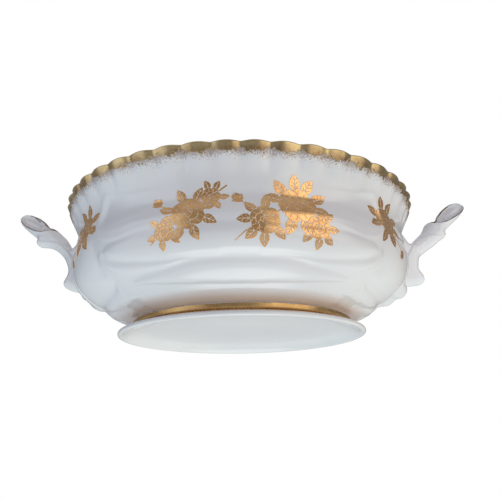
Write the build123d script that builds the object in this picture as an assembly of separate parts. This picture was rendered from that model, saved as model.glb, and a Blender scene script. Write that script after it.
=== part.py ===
from build123d import *
import math
import os

os.makedirs("parts", exist_ok=True)

# ---------------------------------------------------------------- dimensions
# Oval two-handled porcelain serving bowl, in millimetres.
# X runs along the handles, Y across the bowl, Z up from the table.
# The origin is the centre of the oval that the foot rests on.

OVAL = 0.78              # short axis over long axis of every horizontal oval
RIM_A = 115.0            # half the long axis of the rim, outside
RIM_Z = 78.9             # height of the rim
WALL = 3.3               # wall thickness of the bowl, square to the wall
FLUTES = 48              # flutes round the rim, evenly spaced in oval angle
FLUTE_IN = 1.3           # how far the grooves between flutes cut in at the rim
FLUTE_FOOT_Z = 62.3      # height where the flutes have died away

FOOT_A = 75.0            # half the long axis of the foot's lip
NECK_A = 66.85           # half the long axis of the neck above the lip
NECK_Z = 8.2             # height of the luted joint between foot and bowl
BASE_Z = 4.7             # height of the glazed base inside the foot ring
BASE_A = 57.0            # half the long axis of the flat glazed base
FLOOR_Z = 8.3            # height of the floor inside the bowl

FILM = 0.12              # thickness given to a fired gold band
RIM_BAND_Z = 74.2        # lower edge of the gold band on the rim
FOOT_BAND_LOW_Z = 4.9    # lower edge of the gold band round the neck
FOOT_BAND_TOP_Z = 8.1    # upper edge of the gold band round the neck

HANDLE_LEAN = 5.0        # sideways lean of a handle's tip

# Outer outline of the bowl: (height, half the long axis)
OUTER = [
    (NECK_Z, NECK_A), (9.5, 70.4), (11.0, 73.9), (13.3, 79.0), (15.8, 83.9),
    (21.3, 93.0), (26.8, 99.9), (33.1, 103.9), (39.4, 106.1), (45.7, 106.9),
    (51.3, 106.0), (56.8, 105.5), (62.3, 106.6), (67.8, 109.2), (73.4, 112.2),
    (RIM_Z, RIM_A),
]
# Inner outline of the bowl, WALL inside the outer one
INNER = [
    (FLOOR_Z, 55.0), (9.1, 60.5), (11.3, 66.6), (14.1, 72.6), (18.8, 82.2),
    (24.1, 90.9), (29.0, 97.2), (34.4, 100.9), (39.9, 102.8), (45.7, 103.6),
    (51.2, 102.7), (57.0, 102.2), (63.3, 103.6), (69.1, 106.3), (74.6, 109.4),
    (RIM_Z + 1.0, 112.3),
]


# ---------------------------------------------------------------- helpers
def flute(u, z):
    """Inward cut of the rim's fluting: u runs 0 to 1 from groove to groove."""
    if z <= FLUTE_FOOT_Z:
        return 0.0
    k = min(1.0, (z - FLUTE_FOOT_Z) / (RIM_Z - FLUTE_FOOT_Z))
    k = k * k * (3.0 - 2.0 * k)
    return FLUTE_IN * k * (1.0 - math.sin(math.pi * u)) ** 1.3


def oval_wire(z, half_long, half_short, grow=0.0, steps=6):
    """A closed oval at height z, one edge to each flute."""
    def point(k, u):
        t = 2.0 * math.pi * (k + u) / FLUTES
        nx, ny = math.cos(t) / half_long, math.sin(t) / half_short
        length = math.hypot(nx, ny)
        d = grow - flute(u, z)
        return Vector(half_long * math.cos(t) + nx / length * d,
                      half_short * math.sin(t) + ny / length * d, z)

    corners = [point(k, 0.0) for k in range(FLUTES)]
    edges = []
    for k in range(FLUTES):
        inner = [point(k, i / steps) for i in range(1, steps)]
        edges.append(Edge.make_spline(
            [corners[k]] + inner + [corners[(k + 1) % FLUTES]]))
    return Wire(edges)


def oval_turned(profile):
    """Turn a (half_long, z) outline about Z, then squeeze it to the oval."""
    with BuildSketch(Plane.XZ) as sk:
        with BuildLine():
            Polyline(*profile, close=True)
        make_face()
    ring = revolve(sk.sketch, Axis.Z, 360)
    return scale(ring, by=(1.0, OVAL, 1.0))


# ---------------------------------------------------------------- bowl body
outer_skin = Solid.make_loft(
    [oval_wire(z, a, a * OVAL) for z, a in OUTER])
inner_skin = Solid.make_loft(
    [oval_wire(z, a, a * OVAL - 0.45) for z, a in INNER])

# The bottom of the bowl dips into the foot ring, with a sloping shoulder
plug = oval_turned([(0.0, BASE_Z), (BASE_A, BASE_Z), (62.5, NECK_Z),
                    (62.5, NECK_Z + 0.6), (0.0, NECK_Z + 0.6)])
bowl_body = (Part() + outer_skin + plug) - inner_skin

# ---------------------------------------------------------------- foot ring
# Rounded lip that stands on the table, hollow-curved up to a plain neck
foot_ring = oval_turned([
    (71.5, 0.35), (72.1, -0.4), (74.3, -0.4), (74.75, 0.35), (75.0, 1.1),
    (74.9, 1.9), (74.2, 2.6), (72.6, 3.1), (70.2, 3.6), (68.3, 4.1),
    (67.2, 4.6), (NECK_A, 5.2), (NECK_A, NECK_Z), (62.5, NECK_Z),
    (BASE_A, BASE_Z), (61.0, 4.2), (65.5, 3.0), (69.0, 1.7), (70.7, 0.9),
])
# The lip is ground flat where it stands on the table
foot_ring = foot_ring - Pos(0, 0, -5) * Box(200, 200, 10)

# ---------------------------------------------------------------- gold bands
band_levels = [RIM_BAND_Z, 75.8, 77.4, RIM_Z]


def outer_half(z):
    for (z0, a0), (z1, a1) in zip(OUTER, OUTER[1:]):
        if z0 <= z <= z1:
            return a0 + (a1 - a0) * (z - z0) / (z1 - z0)
    return RIM_A


film_out = Solid.make_loft([
    oval_wire(z, outer_half(z), outer_half(z) * OVAL, 0.05 + FILM)
    for z in band_levels])
film_in = Solid.make_loft([
    oval_wire(z, outer_half(z), outer_half(z) * OVAL, 0.05)
    for z in band_levels])
rim_gilding = Part() + (film_out - film_in)

foot_gold_band = oval_turned([
    (NECK_A + 0.001, FOOT_BAND_LOW_Z + 0.4), (NECK_A + FILM, FOOT_BAND_LOW_Z + 0.4),
    (NECK_A + FILM, FOOT_BAND_TOP_Z), (NECK_A + 0.001, FOOT_BAND_TOP_Z)])

# ---------------------------------------------------------------- handles
# One casting, used twice: a branch that hugs the end of the bowl, then
# sweeps up and out to a rounded, hollow-sided tip.
# (x, z, lean share, direction in degrees, half depth, half width)
STEM = [
    (109.8, 31.2, 0.00, 92, 2.6, 3.6),
    (111.6, 33.6, 0.00, 90, 6.0, 6.6),
    (112.3, 37.0, 0.00, 90, 7.0, 7.6),
    (111.7, 42.5, 0.00, 86, 6.4, 7.2),
    (112.8, 49.0, 0.02, 74, 6.2, 6.9),
    (117.2, 56.6, 0.05, 50, 6.1, 6.6),
    (124.4, 63.8, 0.12, 42, 5.7, 6.2),
    (131.6, 69.9, 0.28, 40, 5.4, 5.9),
    (139.2, 76.2, 0.50, 40, 6.0, 6.0),
    (146.8, 82.0, 0.74, 37, 6.8, 6.3),
    (152.8, 86.2, 0.92, 34, 5.8, 5.4),
    (157.2, 88.9, 1.00, 31, 2.6, 2.6),
]


def stem_section(x, z, share, angle, depth, width):
    a = math.radians(angle)
    plane = Plane(origin=(x, -HANDLE_LEAN * share, z), x_dir=(0, 1, 0),
                  z_dir=(math.cos(a), 0, math.sin(a)))
    return Face(Wire([Edge.make_ellipse(width, depth, plane=plane)])
                ).outer_wire()


stem = Part() + Solid.make_loft([stem_section(*s) for s in STEM])
tip_end = Pos(156.6, -HANDLE_LEAN, 88.5) * Sphere(2.75)
spur_dir = Vector(6.6, -0.6, -2.0).normalized()
spur = Plane(origin=(135.0, -1.8, 69.6), z_dir=spur_dir) * Cone(
    4.2, 1.3, 7.2, align=(Align.CENTER, Align.CENTER, Align.MIN))

# Shallow hollow on each side of the tip, with a web left between them
hollow_plane = Plane(origin=(150.4, -4.2, 84.4), x_dir=(math.cos(
    math.radians(36)), -0.12, math.sin(math.radians(36))), z_dir=(0.1, 1, 0.0))
hollow_shape = scale(Sphere(1.0), by=(7.6, 4.2, 3.6))
hollow_a = hollow_plane * (Pos(0, 0, 7.2) * hollow_shape)
hollow_b = hollow_plane * (Pos(0, 0, -7.2) * hollow_shape)

bowl_block = Part() + outer_skin
handle_right = stem + tip_end + spur - hollow_a - hollow_b - bowl_block
handle_left = Rot(0, 0, 180) * handle_right

# ---------------------------------------------------------------- write
nodes = {
    "bowl_body": bowl_body,
    "foot_ring": foot_ring,
    "handle_left": handle_left,
    "handle_right": handle_right,
    "rim_gilding": rim_gilding,
    "foot_gold_band": foot_gold_band,
}

for name, shape in nodes.items():
    solids = shape.solids()
    print(name, len(solids), "solid(s),", round(shape.volume / 1000.0, 2),
          "cm3, valid", shape.is_valid)
    export_step(Compound(label=name, children=solids), f"parts/{name}.step")
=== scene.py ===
import math

import bpy
import numpy as np
from mathutils import Matrix, Vector


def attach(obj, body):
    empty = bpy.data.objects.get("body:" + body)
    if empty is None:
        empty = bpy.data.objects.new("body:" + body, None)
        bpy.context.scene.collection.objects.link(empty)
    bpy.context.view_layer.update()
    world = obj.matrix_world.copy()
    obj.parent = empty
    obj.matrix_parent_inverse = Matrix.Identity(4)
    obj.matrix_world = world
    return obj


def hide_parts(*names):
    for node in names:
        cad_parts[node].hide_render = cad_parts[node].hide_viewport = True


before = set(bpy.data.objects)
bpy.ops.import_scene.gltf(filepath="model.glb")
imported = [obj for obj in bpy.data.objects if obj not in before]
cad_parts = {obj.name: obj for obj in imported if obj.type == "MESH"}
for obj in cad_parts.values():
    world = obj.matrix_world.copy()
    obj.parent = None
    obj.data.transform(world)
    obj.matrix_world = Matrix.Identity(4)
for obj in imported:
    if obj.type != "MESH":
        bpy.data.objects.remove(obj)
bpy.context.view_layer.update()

MM = 0.001

# ------------------------------------------------------------------ the bowl's form
# All lengths below are millimetres in the CAD frame. A point of the outer
# skin is named by phi, the oval angle from the front (-Y), towards +X, and v,
# the distance up the wall from the joint with the foot.
OVAL = 0.78
RIM_Z = 78.9
NECK_Z = 8.2
FLUTES = 48
OUTER = [(8.2, 66.85), (9.5, 70.4), (11.0, 73.9), (13.3, 79.0), (15.8, 83.9),
         (21.3, 93.0), (26.8, 99.9), (33.1, 103.9), (39.4, 106.1),
         (45.7, 106.9), (51.3, 106.0), (56.8, 105.5), (62.3, 106.6),
         (67.8, 109.2), (73.4, 112.2), (78.9, 115.0)]
INNER = [(8.3, 50.0), (8.7, 57.5), (10.4, 64.6), (14.1, 72.6), (18.8, 82.2),
         (24.1, 90.9), (29.0, 97.2), (34.4, 100.9), (39.9, 102.8),
         (45.7, 103.6), (51.2, 102.7), (57.0, 102.2), (63.3, 103.6),
         (69.1, 106.3), (74.6, 109.4), (78.9, 111.9)]


def natural_spline(t, y, x):
    n = len(t)
    h = np.diff(t)
    A = np.zeros((n, n))
    r = np.zeros(n)
    A[0, 0] = A[-1, -1] = 1
    for i in range(1, n - 1):
        A[i, i - 1], A[i, i], A[i, i + 1] = h[i - 1], 2 * (h[i - 1] + h[i]), h[i]
        r[i] = 6 * ((y[i + 1] - y[i]) / h[i] - (y[i] - y[i - 1]) / h[i - 1])
    m = np.linalg.solve(A, r)
    k = np.clip(np.searchsorted(t, x) - 1, 0, n - 2)
    d, e, hh = x - t[k], t[k + 1] - x, h[k]
    return (m[k] * e ** 3 / (6 * hh) + m[k + 1] * d ** 3 / (6 * hh)
            + (y[k] / hh - m[k] * hh / 6) * e + (y[k + 1] / hh - m[k + 1] * hh / 6) * d)


def smooth_curve(points, step=0.05, soften=0.0):
    """Dense (s, xy) along a smooth curve through points, softened a little."""
    p = np.array(points, float)
    t = np.concatenate([[0], np.cumsum(np.hypot(*np.diff(p, axis=0).T))])
    x = np.linspace(0, t[-1], int(t[-1] / step) + 1)
    q = np.stack([natural_spline(t, p[:, 0], x), natural_spline(t, p[:, 1], x)], 1)
    if soften > 0:
        w = int(3 * soften / step)
        g = np.exp(-0.5 * (np.arange(-w, w + 1) * step / soften) ** 2)
        g /= g.sum()
        e = np.concatenate([2 * q[0] - q[w:0:-1], q, 2 * q[-1] - q[-2:-w - 2:-1]])
        q = np.stack([np.convolve(e[:, i], g, "valid") for i in (0, 1)], 1)
    s = np.concatenate([[0], np.cumsum(np.hypot(*np.diff(q, axis=0).T))])
    return s, q


S_OUT, Q_OUT = smooth_curve([(a, z) for z, a in OUTER], 0.05, 1.2)
S_IN, Q_IN = smooth_curve([(a, z) for z, a in INNER], 0.05, 1.2)
V_RIM = S_OUT[-1]
PHI_T = np.linspace(-2 * np.pi, 2 * np.pi, 28801)
U_T = np.concatenate([[0], np.cumsum(106 * np.hypot(np.diff(np.sin(PHI_T)), OVAL * np.diff(np.cos(PHI_T))))])
U_T -= np.interp(0, PHI_T, U_T)
U_HALF = np.interp(np.pi, PHI_T, U_T)      # distance from front to back


def u_of_phi(phi):
    return np.interp(phi, PHI_T, U_T)


def phi_of_u(u):
    return np.interp(u, U_T, PHI_T)


def smoothstep(x):
    x = np.clip(x, 0, 1)
    return x * x * (3 - 2 * x)


# ---- low relief moulded in the wall, drawn once for a quarter and mirrored
def polygon_distance(px, py, poly):
    """Signed distance to a closed polygon, negative inside."""
    poly = np.array(poly, float)
    best = np.full(px.shape, 1e9)
    inside = np.zeros(px.shape, bool)
    for (x0, y0), (x1, y1) in zip(poly, np.roll(poly, -1, 0)):
        dx, dy = x1 - x0, y1 - y0
        k = np.clip(((px - x0) * dx + (py - y0) * dy) / (dx * dx + dy * dy + 1e-12), 0, 1)
        best = np.minimum(best, np.hypot(px - x0 - k * dx, py - y0 - k * dy))
        hit = ((y0 > py) != (y1 > py))
        xs = x0 + (py - y0) * dx / (dy if dy else 1e-9)
        inside ^= hit & (px < xs)
    return np.where(inside, -best, best)


def rounded(points, closed=True, per=8):
    """A smooth closed or open run of points through the given ones."""
    p = np.array(points, float)
    n = len(p)
    out = []
    for i in range(n if closed else n - 1):
        if closed:
            a, b, c, d = (p[(i + k) % n] for k in (-1, 0, 1, 2))
        else:
            a, b, c, d = p[max(i - 1, 0)], p[i], p[i + 1], p[min(i + 2, n - 1)]
        for j in range(per):
            t = j / per
            out.append(0.5 * ((2 * b) + (c - a) * t + (2 * a - 5 * b + 4 * c - d) * t * t
                              + (3 * b - a - 3 * c + d) * t ** 3))
    if not closed:
        out.append(p[-1])
    return np.array(out)


PANEL = rounded([(30, 73.5), (20, 72.9), (10, 72.8), (0, 73), (-20, 72.7), (-32.6, 71.9), (-46, 72.2), (-58.5, 73.2),
                 (-67, 75.8), (-75.3, 77.0), (-80, 70), (-80.5, 61), (-76, 53.5),
                 (-66, 50.2), (-55, 51.3), (-45, 52.4), (-30, 52.6), (0, 52.8), (30, 52.6)])
LOBE_U = rounded([(12, 35), (-20, 34.4), (-34, 34.0), (-40, 33.9), (-51, 35.1), (-63, 37.3),
                  (-70.4, 39.5), (-74.6, 42.4), (-75.6, 45.4), (-71, 47.6), (-60, 48.8), (-45, 50), (-20, 50.6), (12, 50.8)])
LOBE_M = rounded([(-77.2, 46.2), (-80.8, 44.0), (-81.6, 40.4), (-80, 37), (-77.2, 33.9), (-73, 31), (-68, 29.2),
                  (-60, 28.5), (-50, 28.7), (-41, 29.6), (-32, 31.6), (-22, 33.2), (-33, 33.1), (-41, 32.8),
                  (-52, 33.9), (-64, 36.1), (-71.8, 38.2), (-76.2, 41.2)])
LOBE_L = rounded([(12, 31.5), (-14, 31.3), (-25, 30.9), (-33, 29.6), (-42, 27.9), (-53.4, 26.7), (-63.3, 25.4),
                  (-68.4, 23.6), (-66.4, 21.6), (-58.5, 20.0), (-39, 17.2), (-20, 16.0), (12, 15.4)])
LOBE_E = rounded([(-84.2, 55.5), (-83.6, 44.3), (-85.3, 36.6), (-81, 31.4), (-84, 26.5), (-92, 23.5), (-108, 22), (-128, 22.4),
                  (-149, 24), (-170, 22.4), (-149, 40), (-149, 58), (-128, 59), (-108, 59.5), (-94, 58.6)])
LOBE_F = rounded([(-83.5, 24.5), (-81, 19), (-74, 13.5), (-88, 9.5), (-110, 7.8), (-132, 7.6), (-149, 9.5),
                  (-149, 20.5), (-128, 19.4), (-108, 19.4), (-93, 20.8)])


CREASE = rounded([(-112, 58), (-115, 53), (-119, 48.5), (-123.5, 43.8), (-126, 37.5), (-131.5, 32), (-140, 27.5),
                  (-142.5, 22), (-135, 15.8), (-117, 9.4), (-103, 8.1)], closed=False)


def line_distance(x, y, line):
    """Distance to an open run of points."""
    best = np.full(x.shape, 1e9)
    for a, b in zip(line[:-1], line[1:]):
        e = b - a
        t = np.clip(((x - a[0]) * e[0] + (y - a[1]) * e[1]) / (e @ e), 0, 1)
        best = np.minimum(best, (x - a[0] - t * e[0]) ** 2 + (y - a[1] - t * e[1]) ** 2)
    return np.sqrt(best)


def pillow(d, rise, width):
    """A soft swelling inside a border at distance d (negative inside)."""
    return rise * (1 - np.exp(-np.maximum(-d, 0) / width))


def relief(phi, v):
    """Height of the moulded relief above the plain wall."""
    u = u_of_phi((phi + np.pi) % (2 * np.pi) - np.pi)
    u0, v0 = np.broadcast_arrays(u, v)
    m = -np.abs(u)                                    # left and right alike
    m = np.where(m < -U_HALF / 2, -U_HALF - m, m)     # front and back alike
    out = np.zeros(np.broadcast(m, v).shape)
    m, v = np.broadcast_arrays(m, v)
    d = polygon_distance(m, v, PANEL)
    d = np.where(m > -20, np.maximum(52.8 - v, v - 73.0), d)
    lower = smoothstep((62.0 - v) / 6.0)
    middle = smoothstep((58 + m) / 20)
    out += -0.85 * smoothstep(-d / (4.5 + 4.0 * np.maximum(lower, middle)))
    out += 0.34 * np.exp(-(d / 0.85) ** 2) * smoothstep((-m - 34) / 20)
    out -= 0.28 * smoothstep((v - 55) / 10) * (1 - smoothstep((v - 64.5) / 7)) * smoothstep(-d / 6)
    for poly, rise, width, edge in ((LOBE_U, 1.65, 2.5, 0.0), (LOBE_M, 1.1, 1.5, 0.0), (LOBE_L, 1.65, 2.7, 0.0)):
        d = polygon_distance(m, v, poly)
        if poly is LOBE_U:
            d = np.where(m > -10, np.maximum(35.0 - v, v - 50.8), d)
        if poly is LOBE_L:
            d = np.where(m > -10, np.maximum(15.4 - v, v - 31.4), d)
        soft = rise * (1 - np.exp(-(np.maximum(-d, 0) / (1.5 * width)) ** 1.7))
        share = middle * smoothstep((v - 44) / 3) if poly is LOBE_U else 0.0
        out += pillow(d, rise, width) * (1 - share) + soft * share
    ends = smoothstep((-m - 74) / 13) * smoothstep((66 - v) / 7)
    out -= 0.8 * ends
    e = polygon_distance(m, v, LOBE_E)
    e = np.where(m < -146, np.maximum(24 - v, v - 58), e)
    out += pillow(e, 1.6, 5.0)
    f = polygon_distance(m, v, LOBE_F)
    f = np.where(m < -146, np.maximum(9.5 - v, v - 20.5), f)
    out += pillow(f, 1.4, 2.6)
    # a crease parts each end lobe from the scroll under the handle
    out -= 1.15 * np.exp(-(line_distance(m, v, CREASE) / 2.1) ** 2)
    # a scroll with two knobs winds down the wall under each handle
    along = np.where(u0 > 0, u0 - U_HALF / 2, u0 + U_HALF / 2)
    bold = np.where(u0 > 0, 1.0, 0.35)
    for at, height, rise, size in ((-11.0, 37.5, 3.9, 5.4), (-3.5, 29.5, 2.1, 4.8)):
        out += bold * rise * np.exp(-(((along - at) ** 2 + (v0 - height) ** 2) / size ** 2) ** 1.4)
    return out


def groove(phi):
    """1 in the bottom of a flute's groove, 0 on the crown between two."""
    w = (phi / (2 * np.pi) * FLUTES) % 1.0
    return (1.0 - np.sqrt(0.96 * np.sin(np.pi * w) ** 2 + 0.04)) / 0.8


def flute(phi, v, depth=1.3):
    """Inward cut of the rim's fluting."""
    fade = smoothstep((v - 72.5) / (V_RIM - 72.5)) ** 0.85
    return depth * fade * groove(phi) ** 1.15


def rim_drop(phi):
    """The rim dips a little at each groove."""
    return 0.5 * groove(phi)


def plain(phi, a, z):
    """A point of the oval; the flare is a little fuller between the axes."""
    a = a * (1 + 0.016 * smoothstep((z - 58.0) / 17.0) * np.sin(2 * phi) ** 2)
    return np.stack(np.broadcast_arrays(a * np.sin(phi), -OVAL * a * np.cos(phi), z), -1)


def wall_frame(phi, v):
    """Point and outward unit normal of the plain outer wall."""
    a = np.interp(v, S_OUT, Q_OUT[:, 0])
    z = np.interp(v, S_OUT, Q_OUT[:, 1])
    da = (np.interp(v + 0.3, S_OUT, Q_OUT[:, 0]) - np.interp(v - 0.3, S_OUT, Q_OUT[:, 0]))
    dz = (np.interp(v + 0.3, S_OUT, Q_OUT[:, 1]) - np.interp(v - 0.3, S_OUT, Q_OUT[:, 1]))
    p = plain(phi, a, z)
    tu = np.stack(np.broadcast_arrays(np.cos(phi), OVAL * np.sin(phi), 0 * a), -1)
    tv = np.stack(np.broadcast_arrays(da * np.sin(phi), -OVAL * da * np.cos(phi), dz), -1)
    n = np.cross(tu, tv)
    n /= np.linalg.norm(n, axis=-1, keepdims=True)
    return p, n


RELIEF_PHI = np.linspace(-np.pi, np.pi, 1441)
RELIEF_V = np.linspace(0, V_RIM, 236)
RELIEF_MAP = relief(RELIEF_PHI[:, None], RELIEF_V[None, :])
for _ in range(2):      # a brush-softened mould
    m = RELIEF_MAP
    m[:, 1:-1] = 0.25 * m[:, :-2] + 0.5 * m[:, 1:-1] + 0.25 * m[:, 2:]
    m[1:-1] = 0.25 * m[:-2] + 0.5 * m[1:-1] + 0.25 * m[2:]


def relief_at(phi, v):
    x = ((phi + np.pi) % (2 * np.pi)) / (2 * np.pi) * 1440
    y = np.clip(v / V_RIM, 0, 1) * 235
    x, y = np.broadcast_arrays(x, y)
    i, j = np.clip(x.astype(int), 0, 1439), np.clip(y.astype(int), 0, 234)
    fx, fy = x - i, y - j
    m = RELIEF_MAP
    return ((m[i, j] * (1 - fx) + m[i + 1, j] * fx) * (1 - fy)
            + (m[i, j + 1] * (1 - fx) + m[i + 1, j + 1] * fx) * fy)


def wall(phi, v, lift=0.0):
    """The finished outer skin, or a skin lifted off it."""
    p, n = wall_frame(phi, v)
    d = relief_at(phi, v) - flute(phi, v) + lift
    out = p + n * d[..., None]
    out[..., 2] -= rim_drop(phi) * smoothstep((v - 84) / (V_RIM - 84))
    return out


# ------------------------------------------------------------------ mesh helpers
def new_object(name, verts, faces, smooth=True):
    mesh = bpy.data.meshes.new(name)
    verts = np.asarray(verts, float) * MM
    mesh.from_pydata([tuple(p) for p in verts.tolist()], [], [tuple(f) for f in faces])
    mesh.validate()
    if smooth:
        mesh.polygons.foreach_set("use_smooth", [True] * len(mesh.polygons))
    mesh.update()
    obj = bpy.data.objects.new(name, mesh)
    bpy.context.scene.collection.objects.link(obj)
    return obj


def grid_faces(rows, cols, closed_cols=True, closed_rows=False, flip=False):
    """Quads over a rows x cols grid of vertices, row-major."""
    r = np.arange(rows if closed_rows else rows - 1)
    c = np.arange(cols if closed_cols else cols - 1)
    R, C = np.meshgrid(r, c, indexing="ij")
    R2, C2 = (R + 1) % rows, (C + 1) % cols
    f = np.stack([R * cols + C, R * cols + C2, R2 * cols + C2, R2 * cols + C], -1).reshape(-1, 4)
    return (f[:, ::-1] if flip else f).tolist()


def turned(name, rows, cols, caps=True):
    """rows: list of (cols, 3) rings. Closed at both ends with a fan."""
    n = len(rows)
    v = np.concatenate(rows)
    f = grid_faces(n, cols)
    if caps:
        v = np.concatenate([v, [rows[0].mean(0)], [rows[-1].mean(0)]])
        k = n * cols
        for i in range(cols):
            j = (i + 1) % cols
            f.append([k, j, i])
            f.append([k + 1, (n - 1) * cols + i, (n - 1) * cols + j])
    return new_object(name, v, f)


# ------------------------------------------------------------------ bowl body
COLS = FLUTES * 12
phi = np.arange(COLS) / COLS * 2 * np.pi
LIP = 1.5
rows = []
for a, z in ((8, 5.72), (16, 5.714), (24, 5.688), (32, 5.618), (40, 5.471), (45, 5.322), (50, 5.113), (54, 4.894),
             (56, 4.765), (57.2, 4.68), (58.2, 4.62),   # domed base
             (59.0, 5.9), (62.5, 8.15), (66.0, 8.2)):
    rows.append(plain(phi, a, z))
v_rows = np.concatenate([np.linspace(0.0, 12, 9), np.linspace(12.9, 80, 76), np.linspace(81.1, V_RIM - 0.9, 12)])
for v in v_rows:
    rows.append(wall(phi, np.full(COLS, v)))
# rolled lip between the outer and the inner skins
top_out = wall(phi, np.full(COLS, V_RIM - 0.9))


def inner_skin(phi, s):
    a = np.interp(s, S_IN, Q_IN[:, 0])
    z = np.interp(s, S_IN, Q_IN[:, 1])
    p = plain(phi, a, z)
    n = np.stack(np.broadcast_arrays(np.sin(phi) * OVAL, -np.cos(phi), 0 * phi), -1)
    n /= np.linalg.norm(n, axis=-1, keepdims=True)
    fade = smoothstep((s - S_IN[-1] + 19.0) / 19.0)
    p = p - n * (flute(phi, np.full_like(phi, V_RIM)) * fade)[..., None]
    p[..., 2] -= rim_drop(phi) * smoothstep((s - S_IN[-1] + 10) / 10)
    return p


top_in = inner_skin(phi, np.full(COLS, S_IN[-1] - 0.9))
mid = 0.5 * (top_out + top_in)
half = 0.5 * (top_out - top_in)
up = np.zeros_like(mid)
up[:, 2] = 1.0
for k in range(1, 10):
    ang = math.pi * k / 10
    rows.append(mid + half * math.cos(ang) + up * (1.25 * math.sin(ang)))
for s in np.concatenate([S_IN[-1] - np.array([0.9, 2.0, 3.4, 5.0, 7, 9, 11.5, 14]),
                         np.linspace(S_IN[-1] - 17, 3, 32)]):
    rows.append(inner_skin(phi, np.full(COLS, s)))
for a in (48.0, 38.0, 24.0, 10.0):
    rows.append(plain(phi, a, 8.3))
body = turned("bowl_body_glazed", rows, COLS)

# ------------------------------------------------------------------ foot ring
FC = 288
fphi = np.arange(FC) / FC * 2 * np.pi
FOOT = [(62.5, 8.15), (55.6, 4.84), (56.6, 4.745), (57.6, 4.655), (59.5, 4.46), (62.5, 3.98), (65.5, 3.22), (68.0, 2.35), (69.8, 1.4), (71.0, 0.72),
        (71.9, 0.22), (72.8, 0.02), (73.6, 0.02), (74.4, 0.25), (74.9, 0.75), (75.0, 1.3), (74.85, 1.95),
        (74.2, 2.55), (73.0, 2.98), (71.2, 3.35), (69.4, 3.8), (68.0, 4.35), (67.2, 5.0), (66.9, 5.7), (66.85, 6.6),
        (66.85, 7.6), (67.1, 8.1), (66.6, 8.19)]
frows = []
pts = np.array(FOOT)
dense = []
for i in range(len(pts) - 1):
    n = 2 if i > 2 else 1
    for j in range(n):
        dense.append(pts[i] + (pts[i + 1] - pts[i]) * j / n)
dense.append(pts[-1])
dense = np.array(dense)
sm = dense.copy()
for _ in range(3):
    sm[3:-2] = 0.25 * sm[2:-3] + 0.5 * sm[3:-2] + 0.25 * sm[4:-1]
sm[:, 1] = np.maximum(sm[:, 1], 0.0)
for a, z in sm:
    frows.append(plain(fphi, a, z))
fv = np.concatenate(frows)
foot = new_object("foot_ring_glazed", fv, grid_faces(len(frows), FC, closed_rows=True))


# ------------------------------------------------------------------ handles
# Each handle is a scrolled leaf: a stem that grows out of the wall, a lower
# leaf wrapped round it that ends in a blunt step, and a curled tip hollowed
# on both faces. It is drawn as a side outline (x outward, z up) and inflated;
# both were finished by hand, so the two outlines differ a little.
LEAN = 5.0
RIGHT = dict(
    outline=[(100, 79), (107, 73), (111.8, 71.0), (113.6, 68.2), (114.9, 65.4), (116.6, 63.2), (118.6, 64.0), (121, 66.1), (125, 69.6), (127, 71.5), (128.8, 74.3),
             (130.1, 76.7), (131.7, 78.3), (134.6, 78.9), (137, 79.5), (138.6, 80.7), (140, 83.2), (142, 86.2),
             (146, 89.8), (150, 92.2), (153.3, 92.9), (156.0, 92.4), (158.2, 90.9), (159.1, 89), (157.9, 86.3),
             (155.0, 83), (150.8, 79), (147, 76), (144.2, 73.5), (142.8, 71.8), (142.2, 70.2), (142.3, 68.8),
             (141.2, 67), (139.5, 65.9), (137.3, 64.5), (133.8, 61.7), (129.8, 59.1), (125.8, 56.4), (121.9, 53.4),
             (120.3, 50.6), (119.5, 47.5), (118.9, 44.7), (119.2, 42.8), (120.5, 40.4), (121.3, 37.6), (120.6, 35.2),
             (118.2, 33.6), (114, 32.9), (110.5, 32.6), (106, 31.6), (100, 31)],
    low=[(131.9, 77.8), (134.3, 76.8), (138, 76.3), (142, 76.9), (146.3, 78.9), (150, 81.0), (153.5, 83.4), (156.4, 85.9), (158.1, 88.2)],
    high=[(158.2, 89.9), (156.4, 91.3), (153.4, 91.9), (150.4, 91.4), (147, 89.8), (143.5, 87.0), (140.9, 84.0), (139.0, 81.5), (136.6, 79.4), (133.8, 78.4)],
    crest=[(108, 46), (112.5, 53), (116, 58), (119.8, 62.3), (123.5, 65), (127.5, 66.5), (131.5, 66.8), (135.5, 66.4), (139, 66.8), (142.5, 68.8)],
    eye=(139.4, 80.4), painted_shadow_patch=(145.4, 88.2, 2.6, 0.8),
    neck=[(131.4, 77.5), (134.4, 78.3), (137, 78.9), (138.6, 80.2)])
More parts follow.
